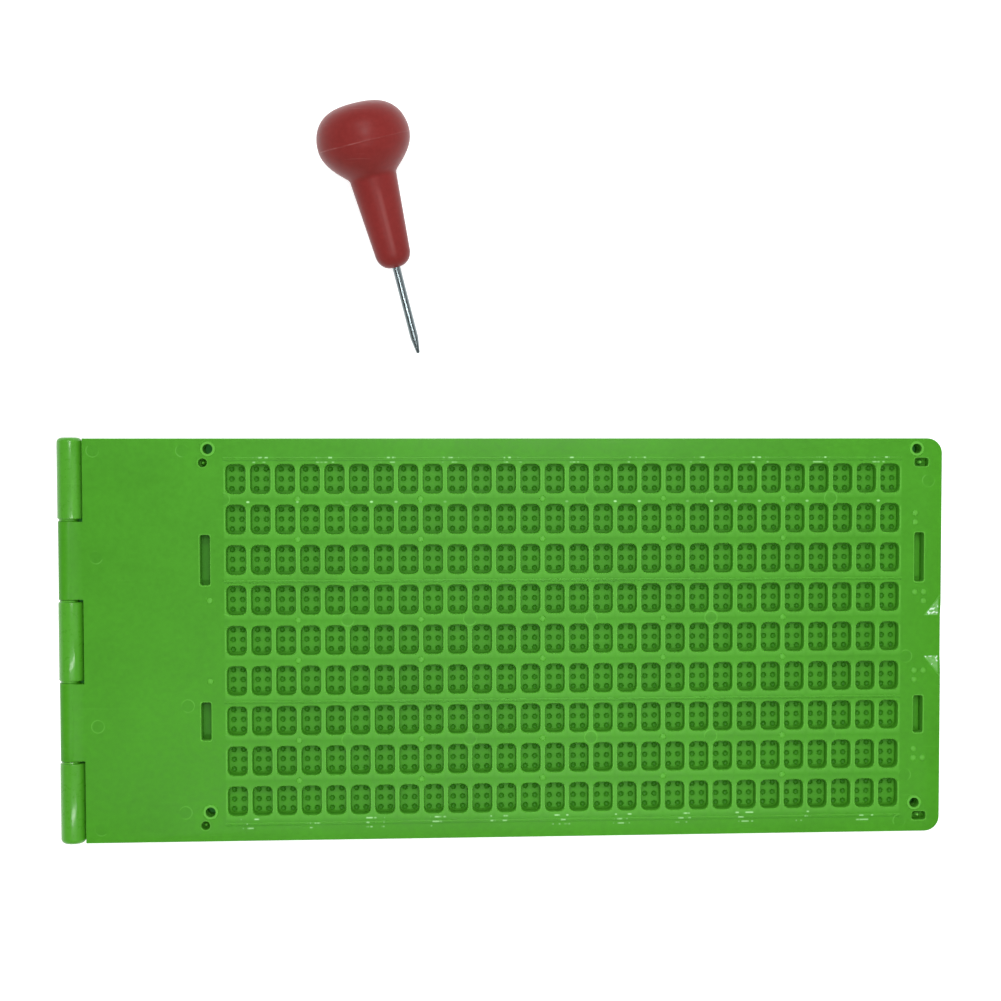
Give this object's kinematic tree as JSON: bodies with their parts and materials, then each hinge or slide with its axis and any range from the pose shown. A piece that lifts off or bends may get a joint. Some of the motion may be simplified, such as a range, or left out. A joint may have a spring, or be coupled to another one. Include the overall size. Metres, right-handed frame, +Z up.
{
  "type": "braille writing slate",
  "caption": "Braille writing slate: a lid with rows of cell windows, hinged along one edge to a pitted base plate with paper pins, and a ball-handled stylus with a steel needle.",
  "frame": {"origin": "centre of the slate's underside, in the plane it lies on", "axes": "+X from the hinge to the opening edge along the writing lines, +Y from the last line to the first, +Z up out of the lid"},
  "size_m": [0.221, 0.1823, 0.0226],
  "materials": {
    "base_plastic": "moulded, satin, slightly translucent green",
    "window_plastic": "moulded, satin, slightly translucent green",
    "pin_steel": "drawn wire",
    "handle_plastic": "moulded, satin dark red",
    "needle_steel": "ground and polished"
  },
  "bodies": {
    "base": {"base_plate": "base_plastic", "hinge_pin": "pin_steel"},
    "lid": {"window_plate": "window_plastic"},
    "stylus": {"stylus_handle": "handle_plastic", "stylus_needle": "needle_steel"}
  },
  "joints": [
    {"name": "lid_hinge", "type": "hinge", "parent": "base", "child": "lid", "pos_m": [-0.1078, 0, 0.0027], "axis": [0, -1, 0], "range_deg": [0, 180]},
    {"name": "stylus_lift", "type": "slide", "parent": "base", "child": "stylus", "axis": [0, 0, 1], "range_m": [0, 0.15]}
  ]
}
